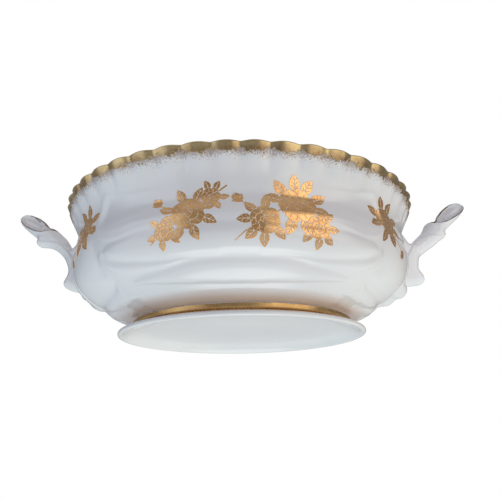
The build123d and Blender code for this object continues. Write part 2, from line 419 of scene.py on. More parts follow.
LEFT = dict(
    outline=[(100, 77), (106, 72), (110.6, 70.2), (112.0, 67.2), (113.2, 64.6), (114.8, 62.6), (116.3, 63.7), (117.6, 65.4), (119, 67.4), (121, 70.0), (124, 72.8),
             (127, 75.5), (129, 77.0), (131.5, 78.2), (134.5, 79.4), (136, 80.9), (139, 84.2), (143, 87.3),
             (148, 89.8), (151, 91.2), (154.7, 91.7), (157.4, 90.5), (158.5, 88.3), (157.8, 85.5), (155.5, 82.5),
             (150.8, 78.5), (147, 75.6), (143.6, 72.9), (142.3, 71.2), (142.1, 69), (141.1, 67.1), (139, 65.8),
             (134.5, 65.1), (130.5, 64.0), (126.3, 61.7), (122.2, 58.4), (118.9, 54.7), (116.8, 51), (115.4, 48),
             (114.7, 45), (114.9, 42.5), (115.8, 40), (116.4, 37.4), (115.4, 35.2), (112.6, 33.5), (109, 32.1), (105, 31.2), (100, 30)],
    low=[(128.0, 75.8), (131.5, 75.6), (135.5, 75.0), (139, 75.1), (143, 76.3), (147, 78.3), (150.6, 80.5), (154.2, 83.3), (156.8, 86.0)],
    high=[(157.6, 88.4), (156.6, 90.1), (154.4, 90.8), (151.2, 90.3), (147.6, 88.9), (143, 86.4), (138.8, 83.2), (135.9, 80.3), (133.7, 78.8), (130.6, 77.4)],
    crest=[(106, 44), (110.5, 51), (114.5, 56.2), (118.5, 60.6), (122.5, 63.6), (126.5, 65.5), (130.5, 66.4), (135, 66.9), (139.5, 68.3), (143, 70.0)],
    eye=(138.4, 80.0), painted_shadow_patch=(145.2, 86.9, 2.3, 1.5),
    neck=[(127.2, 75.4), (129.6, 76.9), (131.8, 77.8), (134.2, 78.8)])
HX = np.arange(98.0, 164.01, 0.25)
HZ = np.arange(26.0, 98.01, 0.25)


def side_fields(shape):
    """Outline distance and recess depth over the side plane."""
    X, Z = np.meshgrid(HX, HZ, indexing="ij")
    d = polygon_distance(X, Z, rounded(shape["outline"], per=4))
    r = polygon_distance(X, Z, rounded(shape["low"] + shape["high"], per=4))
    recess = 3.4 * (1 - (1 - np.clip(-r / 3.4, 0, 1)) ** 2.2)
    ex, ez = shape["eye"]
    recess -= 2.0 * np.exp(-(((X - ex) / 2.1) ** 2 + ((Z - ez) / 1.8) ** 2)) * smoothstep(-r / 1.2)
    c = rounded(shape["crest"], closed=False, per=4)
    above = Z - np.interp(X, c[:, 0], c[:, 1])
    step = 0.95 * smoothstep(above / 1.5) * np.exp(-np.maximum(above, 0) / 4.5)
    recess = np.where(r < 0, recess, recess + step * smoothstep(r / 2.0) * smoothstep((146 - X) / 6) * smoothstep((X - 108) / 6))
    # a low roll along the rim of the hollow
    recess -= 0.35 * np.exp(-((r - 0.5) / 0.6) ** 2)
    recess *= smoothstep((-d - 0.10) / 1.1)
    return d, recess


def sample(field, x, z):
    i = np.clip((x - HX[0]) / 0.25, 0, len(HX) - 1.001)
    j = np.clip((z - HZ[0]) / 0.25, 0, len(HZ) - 1.001)
    a, b = i.astype(int), j.astype(int)
    fx, fz = i - a, j - b
    return ((field[a, b] * (1 - fx) + field[a + 1, b] * fx) * (1 - fz)
            + (field[a, b + 1] * (1 - fx) + field[a + 1, b + 1] * fx) * fz)


def smin(a, b, k):
    h = np.clip(0.5 + 0.5 * (b - a) / k, 0, 1)
    return b * (1 - h) + a * h - k * h * (1 - h)


def body_distance(p):
    f = np.arctan2(p[:, 0], -p[:, 1] / OVAL)
    v = np.interp(p[:, 2], Q_OUT[:, 1], S_OUT)
    a = np.interp(p[:, 2], Q_OUT[:, 1], Q_OUT[:, 0])
    r = np.hypot(p[:, 0], p[:, 1] / OVAL)
    return (r - a) * 0.93 - relief_at(f, v)


def middle_y(x, z):
    s = np.interp(x, [110, 113, 117, 124, 131.5, 139, 146, 152, 160], [0, 0.02, 0.05, 0.12, 0.28, 0.5, 0.72, 0.9, 1.0])
    return -LEAN * s


ROUND = 5.3


def handle_function(shape):
    D, REC = side_fields(shape)

    def distance(p):
        x, z = p[:, 0], p[:, 2]
        d = sample(D, x, z)
        y = p[:, 1] - middle_y(x, z)
        w = np.interp(z, [30, 36, 45, 60, 75, 85, 93], [4.4, 5.6, 6.4, 6.2, 5.8, 5.7, 5.0])
        f = np.sqrt(np.maximum(ROUND + d, 0) ** 2 + (np.abs(y) * ROUND / w) ** 2) - ROUND
        solid = f
        f = f + sample(REC, x, z) * smoothstep(np.abs(y) / 1.6)
        fb = body_distance(p)
        f = smin(f, fb + 0.35, 3.2)                # slip fillet against the bowl
        f = np.maximum(f, -(fb + 1.3))             # the root ends inside the wall
        return np.maximum(f, solid - 4.5)
    return distance


def surface_net(distance, low, high, h):
    n = [int(math.ceil((b - a) / h)) + 1 for a, b in zip(low, high)]
    ax = [low[i] + h * np.arange(n[i]) for i in range(3)]
    G = np.stack(np.meshgrid(*ax, indexing="ij"), -1).reshape(-1, 3)
    F = distance(G).reshape(n)
    inside = F < 0
    corner = [(i, j, k) for i in (0, 1) for j in (0, 1) for k in (0, 1)]
    cut = lambda A, c: A[c[0]:n[0] - 1 + c[0], c[1]:n[1] - 1 + c[1], c[2]:n[2] - 1 + c[2]]
    count = sum(cut(inside, c).astype(int) for c in corner)
    active = (count > 0) & (count < 8)
    index = -np.ones(active.shape, int)
    index[active] = np.arange(active.sum())
    total = np.zeros(active.shape + (3,))
    hits = np.zeros(active.shape)
    for c in corner:
        for d in range(3):
            if c[d]:
                continue
            e = list(c)
            e[d] = 1
            f0, f1 = cut(F, c), cut(F, e)
            x = (f0 < 0) != (f1 < 0)
            t = np.where(x, f0 / np.where(x, f0 - f1, 1), 0)
            p = np.zeros(active.shape + (3,))
            p[...] = c
            p[..., d] = t
            total += p * x[..., None]
            hits += x
    at = np.argwhere(active)
    V = np.array(low) + h * (at + total[active] / hits[active][:, None])
    quads = []
    for d in range(3):
        a, b = [x for x in range(3) if x != d]
        lo = [slice(1, -1)] * 3
        lo[d] = slice(0, -1)
        up = list(lo)
        up[d] = slice(1, None)
        s0, s1 = inside[tuple(lo)], inside[tuple(up)]
        for change, flip in ((s0 & ~s1, False), (~s0 & s1, True)):
            q = np.argwhere(change)
            base = q.copy()
            base[:, a] += 1
            base[:, b] += 1
            cells = []
            for da, db in ((-1, -1), (0, -1), (0, 0), (-1, 0)):
                c = base.copy()
                c[:, a] += da
                c[:, b] += db
                cells.append(index[c[:, 0], c[:, 1], c[:, 2]])
            cells = np.stack(cells, 1)
            if flip ^ (d == 1):
                cells = cells[:, ::-1]
            quads.append(cells)
    F4 = np.concatenate(quads)
    F4 = F4[(F4 >= 0).all(1)]
    for _ in range(3):                         # settle the vertices on the surface
        f = distance(V)
        g = np.stack([distance(V + e) - distance(V - e) for e in np.eye(3) * 0.05], 1) / 0.1
        g2 = (g * g).sum(1)
        step = np.clip(f / np.maximum(g2, 0.15), -0.3, 0.3)
        V = V - g * step[:, None] * 0.8
    return V, F4


def side_skin(distance, x, z, side):
    """Where a handle's face lies, seen from one side: solves f = 0 along Y."""
    yc = middle_y(x, z)
    best = np.full(len(x), np.nan)
    p = np.stack([x, 0 * x, z], 1).astype(float)
    for k in np.linspace(9.0, 0.0, 46):
        p[:, 1] = yc + side * k
        hit = np.isnan(best) & (distance(p) < 0)
        best[hit] = k
    best = np.where(np.isnan(best), 0.3, best)
    a, b = best + 0.2, best.copy()
    for _ in range(7):
        m = 0.5 * (a + b)
        p[:, 1] = yc + side * m
        inside = distance(p) < 0
        a, b = np.where(inside, a, m), np.where(inside, m, b)
    return yc + side * 0.5 * (a + b)


def ribbon(points, normals, width, lift=0.10, sink=0.25):
    """Vertices and faces of a thin closed strip laid on a skin."""
    t = np.gradient(points, axis=0)
    t /= np.linalg.norm(t, axis=1, keepdims=True)
    b = np.cross(normals, t)
    b /= np.linalg.norm(b, axis=1, keepdims=True)
    n = len(points)
    w = (width * (0.15 + 0.85 * np.sin(np.linspace(0.0, 1, n) * np.pi) ** 0.5))[:, None] / 2
    ring = [points + b * w - normals * sink, points + b * w * 0.8 + normals * lift,
            points - b * w * 0.8 + normals * lift, points - b * w - normals * sink]
    v = np.stack(ring, 1).reshape(-1, 3)
    f = []
    for i in range(n - 1):
        for k in range(4):
            f.append([4 * i + k, 4 * (i + 1) + k, 4 * (i + 1) + (k + 1) % 4, 4 * i + (k + 1) % 4])
    f.append([0, 1, 2, 3])
    f.append([4 * n - 1, 4 * n - 2, 4 * n - 3, 4 * n - 4])
    return v, f


def skin_normal(distance, p):
    g = np.stack([distance(p + e) - distance(p - e) for e in np.eye(3) * 0.3], 1)
    return g / np.linalg.norm(g, axis=1, keepdims=True)


def make_handle(name, shape, turn):
    distance = handle_function(shape)
    v, f = surface_net(distance, (97.6, -13.5, 26.5), (161.5, 10.0, 95.5), 0.6)
    strips_v, strips_f, count = [], [], 0
    low, high = shape["low"], shape["high"]
    # painted shadow: a dark gold patch laid on each face where deep shade falls inside the hollow under its upper rim
    cx, cz, sx, sz = shape["painted_shadow_patch"]
    runs = [(rounded(shape["neck"], closed=False, per=6), 1.0), (rounded(low, closed=False, per=9), 0.8), (rounded(high[3:], closed=False, per=9), 0.85),
            (np.stack([np.linspace(cx - sx, cx + sx, 14), cz + 0.80 * np.linspace(-sx, sx, 14)], 1), 2 * sz)]
    for side in (-1, 1):
        for line, width in runs:
            x, z = line[:, 0], line[:, 1]
            y = side_skin(distance, x, z, side)
            p = np.stack([x, y, z], 1)
            for _ in range(2):
                p[1:-1] = 0.25 * p[:-2] + 0.5 * p[1:-1] + 0.25 * p[2:]
            n = skin_normal(distance, p)
            p = p - n * distance(p)[:, None]
            a, b = ribbon(p, n, width)
            strips_v.append(a)
            strips_f += [[i + count for i in q] for q in b]
            count += len(a)
    sv = np.concatenate(strips_v)
    if turn:
        v, sv = v * np.array([-1, -1, 1]), sv * np.array([-1, -1, 1])
    return (new_object(name + "_glazed", v, f.tolist()),
            new_object(name + "_gilt_lines_and_painted_shadow", sv, strips_f))


handle_r, lines_r = make_handle("handle_right", RIGHT, False)
handle_l, lines_l = make_handle("handle_left", LEFT, True)

# ------------------------------------------------------------------ gold sprays
# Flowers, buds and leaves drawn on the unrolled wall, (u, v) in millimetres.
# A drawing is a field, positive where there is gold; later shapes leave a
# thin line of bare glaze round themselves where they lie over earlier ones.
class Drawing:
    def __init__(self, u0, u1, v0, v1, step):
        self.u = np.arange(u0, u1 + step / 2, step)
        self.v = np.arange(v0, v1 + step / 2, step)
        self.U, self.V = np.meshgrid(self.u, self.v, indexing="ij")
        self.F = np.full(self.U.shape, -9.0)

    def add(self, f, gap=0.2):
        self.F = np.maximum(np.minimum(self.F, -f - gap), f)

    def cut(self, f):
        self.F = np.minimum(self.F, -f)

    def stem(self, pts, w0=0.32, w1=0.24, gap=0.0):
        p = rounded(pts, closed=False, per=5) if len(pts) > 2 else np.array(pts, float)
        best = np.full(self.U.shape, -9.0)
        n = len(p) - 1
        for i in range(n):
            (x0, y0), (x1, y1) = p[i], p[i + 1]
            dx, dy = x1 - x0, y1 - y0
            k = np.clip(((self.U - x0) * dx + (self.V - y0) * dy) / (dx * dx + dy * dy + 1e-9), 0, 1)
            w = w0 + (w1 - w0) * (i + k) / n
            best = np.maximum(best, w - np.hypot(self.U - x0 - k * dx, self.V - y0 - k * dy))
        if gap:
            self.add(best, gap)
        else:
            self.F = np.maximum(self.F, best)

    def leaf(self, base, tip, width, bend=0.0, teeth=0, veins=True, gap=0.2, fat=0.45):
        (x0, y0), (x1, y1) = base, tip
        L = math.hypot(x1 - x0, y1 - y0)
        ex, ey = (x1 - x0) / L, (y1 - y0) / L
        s = (self.U - x0) * ex + (self.V - y0) * ey
        n = -(self.U - x0) * ey + (self.V - y0) * ex
        t = s / L
        n = n - bend * 4 * t * (1 - t)
        tc = np.clip(t, 0, 1)
        peak = fat
        shape = np.where(tc < peak, np.sin(0.5 * np.pi * np.clip(tc / peak, 0, 1)) ** 0.75,
                         np.cos(0.5 * np.pi * np.clip((tc - peak) / (1 - peak), 0, 1)) ** 0.95)
        half = 0.5 * width * shape
        if teeth:
            saw = (tc * teeth) % 1.0
            half = half * (1 - 0.16 * saw)
        f = np.where((t < 0) | (t > 1), -np.hypot(np.minimum(np.abs(s), np.abs(s - L)), n), half - np.abs(n))
        if veins:
            mid = (0.11 + 0.05 * (1 - tc)) - np.abs(n)
            mid = np.where((t > 0.02) & (t < 0.86), mid, -9)
            g = np.minimum(f, -mid)
            if width > 3.8:
                gapv = max(2.1, L / 5.0)
                w = (s - 0.95 * np.abs(n)) / gapv
                side = 0.10 - np.abs(w - np.round(w)) * gapv * 0.72
                keep = (np.abs(n) < half * 0.80) & (t > 0.1) & (t < 0.82)
                g = np.where(keep, np.minimum(g, -side), g)
            self.F = np.maximum(np.minimum(self.F, -f - gap), g)
        else:
            self.add(f, gap)

    def petal(self, c, r, angle=0.0, gap=0.2, lines=0, notch=0.0):
        ca, sa = math.cos(math.radians(angle)), math.sin(math.radians(angle))
        x = (self.U - c[0]) * ca + (self.V - c[1]) * sa
        y = -(self.U - c[0]) * sa + (self.V - c[1]) * ca
        w = np.hypot(x / r[0], y / r[1])
        ang = np.arctan2(y / r[1], x / r[0])
        edge = 1 + 0.035 * np.sin(5 * ang + c[0]) + 0.025 * np.sin(9 * ang + c[1]) - notch * np.exp(-(ang / 0.25) ** 2)
        f = (edge - w) * min(r)
        g = f
        if lines:
            k = np.linspace(-0.5, 0.5, lines - 1)
            for a in k:
                line = 0.10 - np.abs(y - a * r[1] * (0.35 + 0.5 * (x / r[0] + 1) / 2)) 
                g = np.where((x > 0.1 * r[0]) & (x < 0.66 * r[0]), np.minimum(g, -line), g)
        self.F = np.maximum(np.minimum(self.F, -f - gap), g)

    def rose(self, c, r, turn=0.0, outer=6):
        for k in range(outer):
            a = turn + 360.0 * k / outer
            q = (c[0] + 0.60 * r * math.cos(math.radians(a)), c[1] + 0.60 * r * math.sin(math.radians(a)))
            self.petal(q, (0.46 * r, 0.50 * r), a, lines=3, notch=0.10)
        for k in range(4):
            a = turn + 40 + 90.0 * k
            q = (c[0] + 0.31 * r * math.cos(math.radians(a)), c[1] + 0.31 * r * math.sin(math.radians(a)))
            self.petal(q, (0.32 * r, 0.36 * r), a)
        for k in range(3):
            a = turn + 15 + 120.0 * k
            q = (c[0] + 0.12 * r * math.cos(math.radians(a)), c[1] + 0.12 * r * math.sin(math.radians(a)))
            self.petal(q, (0.17 * r, 0.19 * r), a)
        self.petal(c, (0.10 * r, 0.10 * r), 0)

    def bud(self, base, tip, width):
        (x0, y0), (x1, y1) = base, tip
        a = math.degrees(math.atan2(y1 - y0, x1 - x0))
        L = math.hypot(x1 - x0, y1 - y0)
        m = (x0 + 0.55 * (x1 - x0), y0 + 0.55 * (y1 - y0))
        ex, ey = (x1 - x0) / L, (y1 - y0) / L
        self.petal(m, (0.46 * L, 0.5 * width), a, lines=3)
        for s in (-1, 1):
            self.petal((m[0] - s * ey * 0.22 * width, m[1] + s * ex * 0.22 * width), (0.38 * L, 0.26 * width), a - s * 14)
        for s in (-1, 1):
            self.leaf(base, (x0 + 0.62 * L * ex - s * ey * 0.66 * width, y0 + 0.62 * L * ey + s * ex * 0.66 * width), 0.30 * width, veins=False)
        self.leaf((x0 - 0.05 * L * ex, y0 - 0.05 * L * ey), (x0 + 0.42 * L * ex, y0 + 0.42 * L * ey), 0.42 * width, veins=False)


def ring(d, c, r, angles, length, width, teeth):
    """Leaves set round a flower like the rays of a star."""
    for k, a in enumerate(angles):
        x, y = math.cos(math.radians(a)), math.sin(math.radians(a))
        d.leaf((c[0] + 0.8 * r * x, c[1] + 0.8 * r * y), (c[0] + (r + length) * x, c[1] + (r + length) * y), width,
               0.4 if k % 2 else -0.4, teeth=teeth)


def draw_front_left(step):
    """Three roses on a slanting stem."""
    d = Drawing(-47, -3.9, 33, 77, step)
    d.stem([(-44, 42), (-36.5, 47.5), (-25, 56), (-14.5, 64.5), (-7, 70)], 0.24, 0.39)
    d.stem([(-31, 59), (-37, 61), (-40, 62)], 0.24, 0.23)
    ring(d, (-25, 56), 8.2, (20, 65, 115, 165, 200, 245, 290, 335), 7.0, 5.0, 6)
    ring(d, (-36.5, 47.5), 4.6, (140, 200, 260, 320), 5.0, 3.6, 5)
    ring(d, (-14.5, 64.5), 4.6, (0, 60, 110, 300), 4.6, 3.6, 5)
    d.rose((-25, 56), 8.2, 30, 6)
    d.rose((-36.5, 47.5), 4.8, 0, 6)
    d.rose((-14.5, 64.5), 4.8, 60, 6)
    d.bud((-39.4, 61.8), (-43.4, 66.6), 4.6)
    return d


def draw_front_right(step):
    """Three roses on an arched stem."""
    d = Drawing(-7.6, 49.5, 32.5, 81.6, step)
    d.stem([(-3, 41), (3, 46), (11, 51), (18, 56), (27, 60), (33, 55), (37, 49), (43, 42)], 0.24, 0.39)
    d.stem([(8, 55), (3, 59), (0, 61)], 0.26, 0.23)
    ring(d, (27, 60), 9.2, (25, 60, 95, 130, 165, 250, 290, 345), 8.0, 6.0, 7)
    ring(d, (11, 51), 6.8, (90, 135, 180, 225, 270, 315), 6.6, 5.0, 6)
    ring(d, (37, 49), 5.6, (0, 45, 225, 270, 315), 5.6, 4.4, 5)
    d.rose((27, 60), 9.2, 10, 6)
    d.rose((11, 51), 7.0, 40, 6)
    d.rose((37, 49), 5.8, 20, 6)
    d.bud((0.4, 60.8), (-4.0, 65.8), 5.0)
    return d


def draw_end(step):
    """One rose in a ring of leaves, drawn about u = 0."""
    d = Drawing(-14.6, 26.8, 44.4, 81.6, step)
    d.stem([(10, 58), (15, 53), (19, 50)], 0.26, 0.23)
    ring(d, (6, 64), 7.6, (20, 65, 110, 155, 200, 245, 290, 335), 7.4, 5.4, 6)
    d.rose((6, 64), 7.8, 10, 6)
    d.bud((18.4, 50.4), (23.0, 47.0), 4.2)
    return d


# ------------------------------------------------------------------ gold films
def film(name, F, place, lift=0.10, sink=0.05, wrap=False):
    """A thin closed skin where the field F (n x m) is positive.

    place(i, j, lift) gives the point at fractional grid position (i, j).
    """
    n, m = F.shape
    if wrap:
        F = np.concatenate([F, F[:1]], 0)
    inside = F > 0
    a, b = inside.shape
    node = -np.ones((a, b), int)
    count = 0
    if wrap:
        core = inside[:-1]
        node[:-1][core] = np.arange(core.sum())
        node[-1] = node[0]
        count = int(core.sum())
        at = np.argwhere(core).astype(float)
    else:
        node[inside] = np.arange(inside.sum())
        count = int(inside.sum())
        at = np.argwhere(inside).astype(float)
    H = -np.ones((a - 1, b), int)
    x = inside[:-1] != inside[1:]
    t = F[:-1] / np.where(x, F[:-1] - F[1:], 1)
    q = np.argwhere(x).astype(float)
    q[:, 0] += np.clip(t[x], 0.04, 0.96)
    H[x] = count + np.arange(len(q))
    count += len(q)
    Vv = -np.ones((a, b - 1), int)
    x = inside[:, :-1] != inside[:, 1:]
    if wrap:
        x[-1] = False
    t = F[:, :-1] / np.where(x, F[:, :-1] - F[:, 1:], 1)
    r = np.argwhere(x).astype(float)
    r[:, 1] += np.clip(t[x], 0.04, 0.96)
    Vv[x] = count + np.arange(len(r))
    count += len(r)
    if wrap:
        Vv[-1] = Vv[0]
    at = np.concatenate([at, q, r])
    code = (inside[:-1, :-1] * 1 + inside[1:, :-1] * 2 + inside[1:, 1:] * 4 + inside[:-1, 1:] * 8)
    faces, rims = [], []
    for k in range(1, 16):
        c = np.argwhere(code == k)
        if not len(c):
            continue
        i, j = c[:, 0], c[:, 1]
        corner = [node[i, j], node[i + 1, j], node[i + 1, j + 1], node[i, j + 1]]
        edge = [H[i, j], Vv[i + 1, j], H[i, j + 1], Vv[i, j]]
        walk, kinds = [], []
        for s in range(4):
            if k >> s & 1:
                walk.append(corner[s])
                kinds.append(None)
            if (k >> s & 1) != (k >> ((s + 1) % 4) & 1):
                walk.append(edge[s])
                kinds.append((k >> s & 1, s))       # 1: leaving the gold
        faces.append(np.stack(walk, 1))
        w = len(walk)
        for s in range(w):
            e = (s + 1) % w
            if kinds[s] and kinds[e] and kinds[s][0] == 1 and kinds[e][0] == 0:
                rims.append(np.stack([walk[s], walk[e]], 1))
    top = place(at[:, 0], at[:, 1], lift)
    low = place(at[:, 0], at[:, 1], -sink)
    V = np.concatenate([top, low])
    out = []
    for f in faces:
        out += f.tolist()
        out += (f[:, ::-1] + count).tolist()
    e = np.concatenate(rims)
    skin = len(out)
    out += np.stack([e[:, 1], e[:, 0], e[:, 0] + count, e[:, 1] + count], 1).tolist()
    obj = new_object(name, V, out)
    flags = np.ones(len(obj.data.polygons), bool)
    flags[skin:] = False                        # the cut edge of the film is crisp
    obj.data.polygons.foreach_set("use_smooth", flags)
    obj.data.update()
    return obj


def on_wall(d, u_shift=0.0, mirror=1, back=False):
    """Places a drawing's grid on the wall."""
    step = d.u[1] - d.u[0]

    def place(i, j, lift):
        u = (d.u[0] + i * step) * mirror + u_shift
        f = phi_of_u(u) + (np.pi if back else 0.0)
        return wall(f, d.v[0] + j * step, lift)
    return place


def spray(name, d, u_shift=0.0, mirror=1, back=False):
    F = d.F if mirror > 0 else d.F[::-1]
    if mirror < 0:
        class Flip:
            u, v = -d.u[::-1], d.v
        return film(name, F, on_wall(Flip, u_shift, 1, back))
    return film(name, F, on_wall(d, u_shift, 1, back))


FINE = 0.22
front_l, front_r, end = draw_front_left(FINE), draw_front_right(FINE), draw_end(0.28)
sprays = []
for back in (False, True):
    w = "back" if back else "front"
    sprays.append(spray(w + "_spray_of_roses_a", front_l, back=back))
    sprays.append(spray(w + "_spray_of_roses_b", front_r, back=back))
    sprays.append(spray(w + "_end_spray_right", end, 79.0, 1, back))
    sprays.append(spray(w + "_end_spray_left", end, -89.0, -1, back))


# ------------------------------------------------------------------ rim gilding
def value_noise(x, y, seed, wrap_x=None):
    """Smooth lattice noise in 0..1."""
    xi, yi = np.floor(x).astype(int), np.floor(y).astype(int)
    fx, fy = x - xi, y - yi
    fx, fy = fx * fx * (3 - 2 * fx), fy * fy * (3 - 2 * fy)

    def h(a, b):
        if wrap_x:
            a = a % wrap_x
        k = (a * 374761393 + b * 668265263 + seed * 1442695041) & 0xFFFFFFFF
        k = ((k ^ (k >> 13)) * 1274126177) & 0xFFFFFFFF
        k = (k ^ (k >> 16)) & 0xFFFF
        return k / 65535.0
    return ((h(xi, yi) * (1 - fx) + h(xi + 1, yi) * fx) * (1 - fy)
            + (h(xi, yi + 1) * (1 - fx) + h(xi + 1, yi + 1) * fx) * fy)


LIP_LEN = 3.2
T_LIP0 = V_RIM - 0.9
T_LIP1 = T_LIP0 + LIP_LEN


def inner_lifted(phi, s, lift):
    p = inner_skin(phi, s)
    e = 1e-3
    du = inner_skin(phi + e, s) - inner_skin(phi - e, s)
    dv = inner_skin(phi, s + 0.1) - inner_skin(phi, s - 0.1)
    n = np.cross(dv, du)
    n /= np.linalg.norm(n, axis=-1, keepdims=True)
    return p + n * np.asarray(lift)[..., None]


def rim_skin(phi, t, lift):
    phi, t = np.broadcast_arrays(phi, t)
    lift = np.full(phi.shape, float(lift))
    out = wall(phi, np.minimum(t, T_LIP0), lift)
    a = wall(phi, np.full_like(phi, T_LIP0))
    b = inner_skin(phi, np.full_like(phi, S_IN[-1] - 0.9))
    mid, half = 0.5 * (a + b), 0.5 * (a - b)
    hl = np.linalg.norm(half, axis=-1, keepdims=True)
    ang = (np.pi * np.clip((t - T_LIP0) / LIP_LEN, 0, 1))[..., None]
    up = np.zeros_like(mid)
    up[..., 2] = 1
    lip = mid + half * (1 + lift[..., None] / hl) * np.cos(ang) + up * (1.25 + lift[..., None]) * np.sin(ang)
    out = np.where((t > T_LIP0)[..., None], lip, out)
    s = S_IN[-1] - 0.9 - np.maximum(t - T_LIP1, 0)
    return np.where((t > T_LIP1)[..., None], inner_lifted(phi, s, lift), out)


RC = FLUTES * 32
rim_t = np.concatenate([np.arange(V_RIM - 10.6, T_LIP0 - 0.2, 0.34), T_LIP0 + LIP_LEN * np.linspace(0, 1, 9),
                        T_LIP1 + np.arange(0.5, 3.9, 0.5)])
ci = np.arange(RC)
GP, GT = np.meshgrid(ci, rim_t, indexing="ij")
uu = GP / RC * 640.0                                    # millimetres along the rim
crown = 1.0 - groove(GP / RC * 2 * np.pi)
edge = (V_RIM - 3.7 - 2.3 * crown ** 1.2 + 0.9 * (value_noise(uu / 6.0, 0 * uu, 3, 107) - 0.5)
        + 0.9 * (value_noise(uu / 1.0, GT / 7.0, 5, 640) - 0.5) + 0.8 * (value_noise(uu / 0.52, GT / 5.0, 7, 1231) - 0.5))
F = GT - edge
# sponged grain: drawn-out specks that thin out down the wall
grain = value_noise(uu / 0.50, GT / 1.5, 11, 1280) * 0.6 + value_noise(uu / 0.44, GT / 0.62, 17, 1455) * 0.4
patch = value_noise(uu / 6.0, GT / 5.0, 23, 107)
depth = np.clip((edge - GT) / (2.6 + 3.4 * patch), 0, 3)
speck = (grain - 0.46 - 0.42 * depth ** 0.7) * 2.4
F = np.maximum(np.clip(F * 1.6, -1, 1), np.minimum(speck, 0.5))
pin = (value_noise(uu / 0.6, GT / 0.9, 31, 1067) - 0.86 + 0.20 * np.clip((edge + 1.0 - GT) / 1.4, -1, 0.8)) * 2.0
F = np.minimum(F, -pin)
inner_edge = T_LIP1 + 2.5 + 0.5 * (value_noise(uu / 3.2, 0 * uu, 41, 200) - 0.5)
F = np.minimum(F, (inner_edge - GT))
F[:, 0] = np.minimum(F[:, 0], -0.05)
F[:, -1] = np.minimum(F[:, -1], -0.05)


def rim_place(i, j, lift):
    k = np.clip(j.astype(int), 0, len(rim_t) - 2)
    t = rim_t[k] + (rim_t[k + 1] - rim_t[k]) * (j - k)
    return rim_skin(i / RC * 2 * np.pi, t, lift)


rim = film("rim_gilding_sponged", F, rim_place, lift=0.09, sink=0.06, wrap=True)

# ------------------------------------------------------------------ band on the foot
BC, BR = 720, 22
BAND_LOW, BAND_HIGH = 3.45, 8.15
tip = int(np.argmax(sm[:, 0]))
BAND_A, BAND_Z = sm[tip + 3:-3, 0], sm[tip + 3:-3, 1]
BAND_SLOPE = np.gradient(BAND_A, BAND_Z)
bi, bj = np.meshgrid(np.arange(BC), np.arange(BR), indexing="ij")
bz = BAND_LOW + (BAND_HIGH - BAND_LOW) * (bj - 1) / (BR - 3)
low_edge = 3.85 + 0.16 * (value_noise(bi / 9.0, 0 * bi, 51, 80) - 0.5)
top_edge = 7.95 + 0.20 * (value_noise(bi / 11.0, 0 * bi, 57, 65) - 0.5)
BF = np.minimum(bz - low_edge, top_edge - bz)
BF[:, 0] = BF[:, -1] = -0.1


def band_place(i, j, lift):
    z = BAND_LOW + (BAND_HIGH - BAND_LOW) * (j - 1) / (BR - 3)
    slope = np.interp(z, BAND_Z, BAND_SLOPE)
    k = lift / np.hypot(1.0, slope)
    return plain(i / BC * 2 * np.pi, np.interp(z, BAND_Z, BAND_A) + k, z - slope * k)


band = film("foot_gold_band_brushed", BF, band_place, lift=0.10, sink=0.05, wrap=True)

# ------------------------------------------------------------------ materials
def material(name):
    m = bpy.data.materials.new(name)
    m.use_nodes = True
    n = m.node_tree.nodes
    return m, m.node_tree, n["Principled BSDF"]


def noise(nt, co, scale, detail=2.0, rough=0.5):
    t = nt.nodes.new("ShaderNodeTexNoise")
    t.inputs["Scale"].default_value = scale
    t.inputs["Detail"].default_value = detail
    t.inputs["Roughness"].default_value = rough
    nt.links.new(co.outputs["Object"], t.inputs["Vector"])
    return t


def spread(nt, source, low, high, a=0.0, b=1.0):
    m = nt.nodes.new("ShaderNodeMapRange")
    m.inputs["From Min"].default_value = low
    m.inputs["From Max"].default_value = high
    m.inputs["To Min"].default_value = a
    m.inputs["To Max"].default_value = b
    nt.links.new(source, m.inputs["Value"])
    return m.outputs["Result"]


def blend_colors(nt, fac, c0, c1):
    r = nt.nodes.new("ShaderNodeValToRGB")
    r.color_ramp.elements[0].color = (*c0, 1)
    r.color_ramp.elements[1].color = (*c1, 1)
    nt.links.new(fac, r.inputs["Fac"])
    return r.outputs["Color"]


def porcelain_material(name, c0, c1):
    m, nt, b = material(name)
    co = nt.nodes.new("ShaderNodeTexCoord")
    cloud = noise(nt, co, 22.0, 3.0)
    nt.links.new(blend_colors(nt, spread(nt, cloud.outputs[0], 0.35, 0.65), c0, c1), b.inputs["Base Color"])
    fine = noise(nt, co, 900.0, 2.0)
    nt.links.new(spread(nt, fine.outputs[0], 0.3, 0.7, 0.07, 0.13), b.inputs["Roughness"])
    b.inputs["IOR"].default_value = 1.52
    b.inputs["Coat Weight"].default_value = 0.7
    b.inputs["Coat Roughness"].default_value = 0.02
    wave = noise(nt, co, 95.0, 1.0)
    bump = nt.nodes.new("ShaderNodeBump")
    bump.inputs["Strength"].default_value = 1.0
    bump.inputs["Distance"].default_value = 0.00008
    nt.links.new(wave.outputs[0], bump.inputs["Height"])
    nt.links.new(bump.outputs[0], b.inputs["Normal"])
    return m


